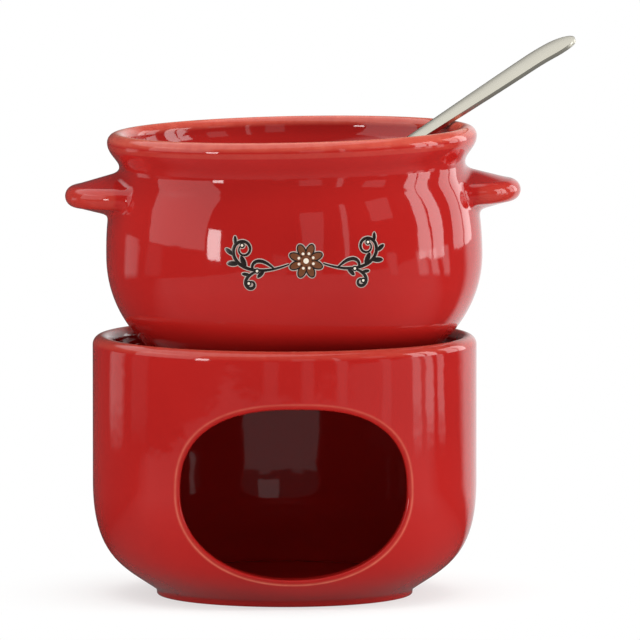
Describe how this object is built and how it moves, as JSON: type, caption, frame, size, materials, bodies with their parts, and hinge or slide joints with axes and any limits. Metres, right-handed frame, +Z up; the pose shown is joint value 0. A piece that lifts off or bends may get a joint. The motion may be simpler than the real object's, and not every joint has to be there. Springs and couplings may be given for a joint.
{
  "type": "ceramic fondue warmer set",
  "caption": "Small ceramic fondue set: an open-fronted candle base, a loose two-eared bowl that stands in its top, and a steel fork that leans in the bowl.",
  "frame": {"origin": "centre of the base's foot ring, on the table", "axes": "+Z up, -Y out of the candle opening at the front, +X towards the right ear and the fork's handle"},
  "size_m": [0.1411, 0.105, 0.1514],
  "materials": {
    "red_glaze": "glossy red glaze on stoneware",
    "stamped_steel": "satin stamped stainless steel"
  },
  "bodies": {
    "warmer_base": {"warmer_base": "red_glaze"},
    "fondue_bowl": {"fondue_bowl": "red_glaze"},
    "fork": {"fork": "stamped_steel"}
  },
  "joints": [
    {"name": "bowl_lift", "type": "slide", "parent": "warmer_base", "child": "fondue_bowl", "axis": [0, 0, 1], "range_m": [0, 0.08]},
    {"name": "fork_lift", "type": "slide", "parent": "fondue_bowl", "child": "fork", "axis": [0, 0, 1], "range_m": [0, 0.06]}
  ]
}
